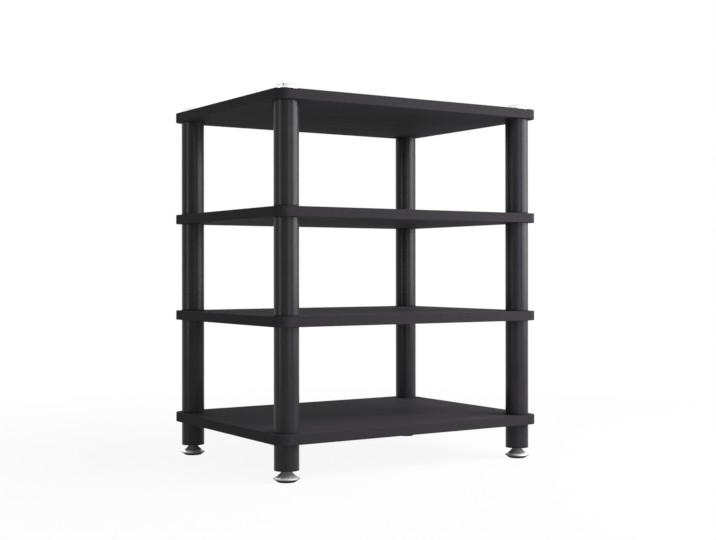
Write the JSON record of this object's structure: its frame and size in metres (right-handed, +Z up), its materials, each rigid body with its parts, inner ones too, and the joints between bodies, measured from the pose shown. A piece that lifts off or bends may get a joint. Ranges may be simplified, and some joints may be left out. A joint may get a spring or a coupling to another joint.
{
  "type": "audio equipment rack",
  "caption": "Open hi-fi rack with rounded shelves on round tube columns, silver top caps and screw-in levelling feet.",
  "frame": {"origin": "on the floor, under the middle of the shelves, with the feet screwed right in", "axes": "+Z up, +X to the right seen from the front, +Y from the front to the back"},
  "size_m": [0.6, 0.46, 0.7161],
  "materials": {
    "shelf_laminate": "charcoal laminate on board, satin",
    "tube_paint": "black powder coat, satin",
    "connector_polymer": "moulded black, matt",
    "rod_steel": "zinc plated, dull",
    "cap_silver": "turned and polished",
    "base_chrome": "satin",
    "cone_grey": "dark grey, satin",
    "pad_rubber": "moulded, matt"
  },
  "bodies": {
    "frame": {"shelf_top": "shelf_laminate", "shelf_upper": "shelf_laminate", "shelf_lower": "shelf_laminate", "shelf_bottom": "shelf_laminate", "top_cap_front_left": "cap_silver", "top_cap_front_right": "cap_silver", "top_cap_back_left": "cap_silver", "top_cap_back_right": "cap_silver", "tube_upper_front_left": "tube_paint", "tube_upper_front_right": "tube_paint", "tube_upper_back_left": "tube_paint", "tube_upper_back_right": "tube_paint", "tube_middle_front_left": "tube_paint", "tube_middle_front_right": "tube_paint", "tube_middle_back_left": "tube_paint", "tube_middle_back_right": "tube_paint", "tube_lower_front_left": "tube_paint", "tube_lower_front_right": "tube_paint", "tube_lower_back_left": "tube_paint", "tube_lower_back_right": "tube_paint", "leg_tube_front_left": "tube_paint", "leg_tube_front_right": "tube_paint", "leg_tube_back_left": "tube_paint", "leg_tube_back_right": "tube_paint", "connector_upper_front_left": "connector_polymer", "connector_upper_front_right": "connector_polymer", "connector_upper_back_left": "connector_polymer", "connector_upper_back_right": "connector_polymer", "connector_lower_front_left": "connector_polymer", "connector_lower_front_right": "connector_polymer", "connector_lower_back_left": "connector_polymer", "connector_lower_back_right": "connector_polymer", "connector_bottom_front_left": "connector_polymer", "connector_bottom_front_right": "connector_polymer", "connector_bottom_back_left": "connector_polymer", "connector_bottom_back_right": "connector_polymer", "tie_rod_front_left": "rod_steel", "tie_rod_front_right": "rod_steel", "tie_rod_back_left": "rod_steel", "tie_rod_back_right": "rod_steel", "leg_plug_front_left": "connector_polymer", "leg_plug_front_right": "connector_polymer", "leg_plug_back_left": "connector_polymer", "leg_plug_back_right": "connector_polymer"},
    "base_front_left": {"foot_base_front_left": "base_chrome", "foot_pad_front_left": "pad_rubber"},
    "base_front_right": {"foot_base_front_right": "base_chrome", "foot_pad_front_right": "pad_rubber"},
    "base_back_left": {"foot_base_back_left": "base_chrome", "foot_pad_back_left": "pad_rubber"},
    "base_back_right": {"foot_base_back_right": "base_chrome", "foot_pad_back_right": "pad_rubber"},
    "screw_front_left": {"foot_spindle_front_left": "rod_steel", "foot_cone_front_left": "cone_grey"},
    "screw_front_right": {"foot_spindle_front_right": "rod_steel", "foot_cone_front_right": "cone_grey"},
    "screw_back_left": {"foot_spindle_back_left": "rod_steel", "foot_cone_back_left": "cone_grey"},
    "screw_back_right": {"foot_spindle_back_right": "rod_steel", "foot_cone_back_right": "cone_grey"}
  },
  "joints": [
    {"name": "foot_extend_front_left", "type": "slide", "parent": "frame", "child": "base_front_left", "axis": [0, 0, -1], "range_m": [0, 0.01]},
    {"name": "foot_turn_front_left", "type": "hinge", "parent": "base_front_left", "child": "screw_front_left", "pos_m": [-0.268, -0.198, 0.00975], "axis": [0, 0, -1], "range_deg": [0, 2880]},
    {"name": "foot_extend_front_right", "type": "slide", "parent": "frame", "child": "base_front_right", "axis": [0, 0, -1], "range_m": [0, 0.01]},
    {"name": "foot_turn_front_right", "type": "hinge", "parent": "base_front_right", "child": "screw_front_right", "pos_m": [0.268, -0.198, 0.00975], "axis": [0, 0, -1], "range_deg": [0, 2880]},
    {"name": "foot_extend_back_left", "type": "slide", "parent": "frame", "child": "base_back_left", "axis": [0, 0, -1], "range_m": [0, 0.01]},
    {"name": "foot_turn_back_left", "type": "hinge", "parent": "base_back_left", "child": "screw_back_left", "pos_m": [-0.268, 0.198, 0.00975], "axis": [0, 0, -1], "range_deg": [0, 2880]},
    {"name": "foot_extend_back_right", "type": "slide", "parent": "frame", "child": "base_back_right", "axis": [0, 0, -1], "range_m": [0, 0.01]},
    {"name": "foot_turn_back_right", "type": "hinge", "parent": "base_back_right", "child": "screw_back_right", "pos_m": [0.268, 0.198, 0.00975], "axis": [0, 0, -1], "range_deg": [0, 2880]}
  ],
  "couplings": [
    {"joint": "foot_turn_front_left", "follows": "foot_extend_front_left", "rad_per_m": 5026.5},
    {"joint": "foot_turn_front_right", "follows": "foot_extend_front_right", "rad_per_m": 5026.5},
    {"joint": "foot_turn_back_left", "follows": "foot_extend_back_left", "rad_per_m": 5026.5},
    {"joint": "foot_turn_back_right", "follows": "foot_extend_back_right", "rad_per_m": 5026.5}
  ]
}
